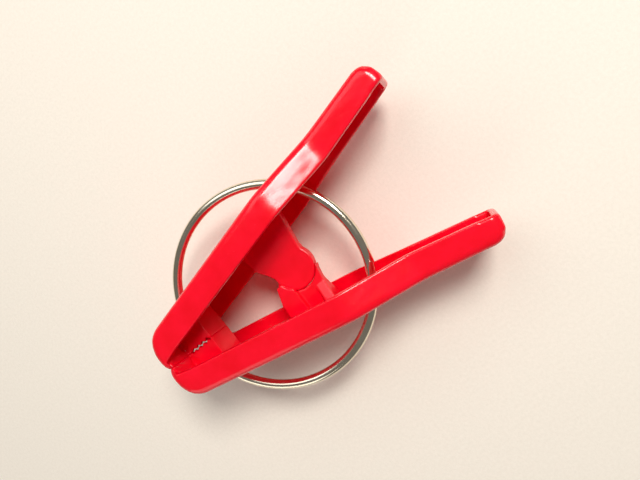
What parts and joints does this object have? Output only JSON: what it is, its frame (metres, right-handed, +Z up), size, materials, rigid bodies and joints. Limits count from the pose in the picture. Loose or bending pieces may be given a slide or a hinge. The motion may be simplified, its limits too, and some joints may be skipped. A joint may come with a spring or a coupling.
{
  "type": "clothespin",
  "caption": "Clothespin with channel-shaped moulded levers that rock on a boss and socket, held shut by an open ring of spring wire.",
  "frame": {"origin": "centre of the outline, on the surface that the clothespin lies on", "axes": "+X from the jaws to the thumb ends, +Y towards the lever with the boss, +Z up along the fulcrum axis"},
  "size_m": [0.0615, 0.04, 0.021],
  "materials": {
    "red_plastic": "glossy moulded polypropylene",
    "spring_steel": "bright drawn spring wire with a faint brassy tint"
  },
  "bodies": {
    "lower_lever": {"lower_lever": "red_plastic"},
    "ring_spring": {"ring_spring": "spring_steel"},
    "upper_lever": {"upper_lever": "red_plastic"}
  },
  "joints": [
    {"name": "squeeze", "type": "hinge", "parent": "ring_spring", "child": "upper_lever", "pos_m": [-0.0028, 0, 0.0105], "axis": [0, 0, -1], "range_deg": [0, 20], "stiffness_Nm_per_rad": 0.2, "springref_deg": -2.86, "deforming": ["ring_spring"]},
    {"name": "ring_opening", "type": "hinge", "parent": "lower_lever", "child": "ring_spring", "pos_m": [-0.0028, 0, 0.0105], "axis": [0, 0, -1], "range_deg": [0, 20], "stiffness_Nm_per_rad": 0.2, "springref_deg": -2.86, "deforming": ["ring_spring"]}
  ],
  "couplings": [
    {"joint": "ring_opening", "follows": "squeeze", "ratio": 1}
  ]
}
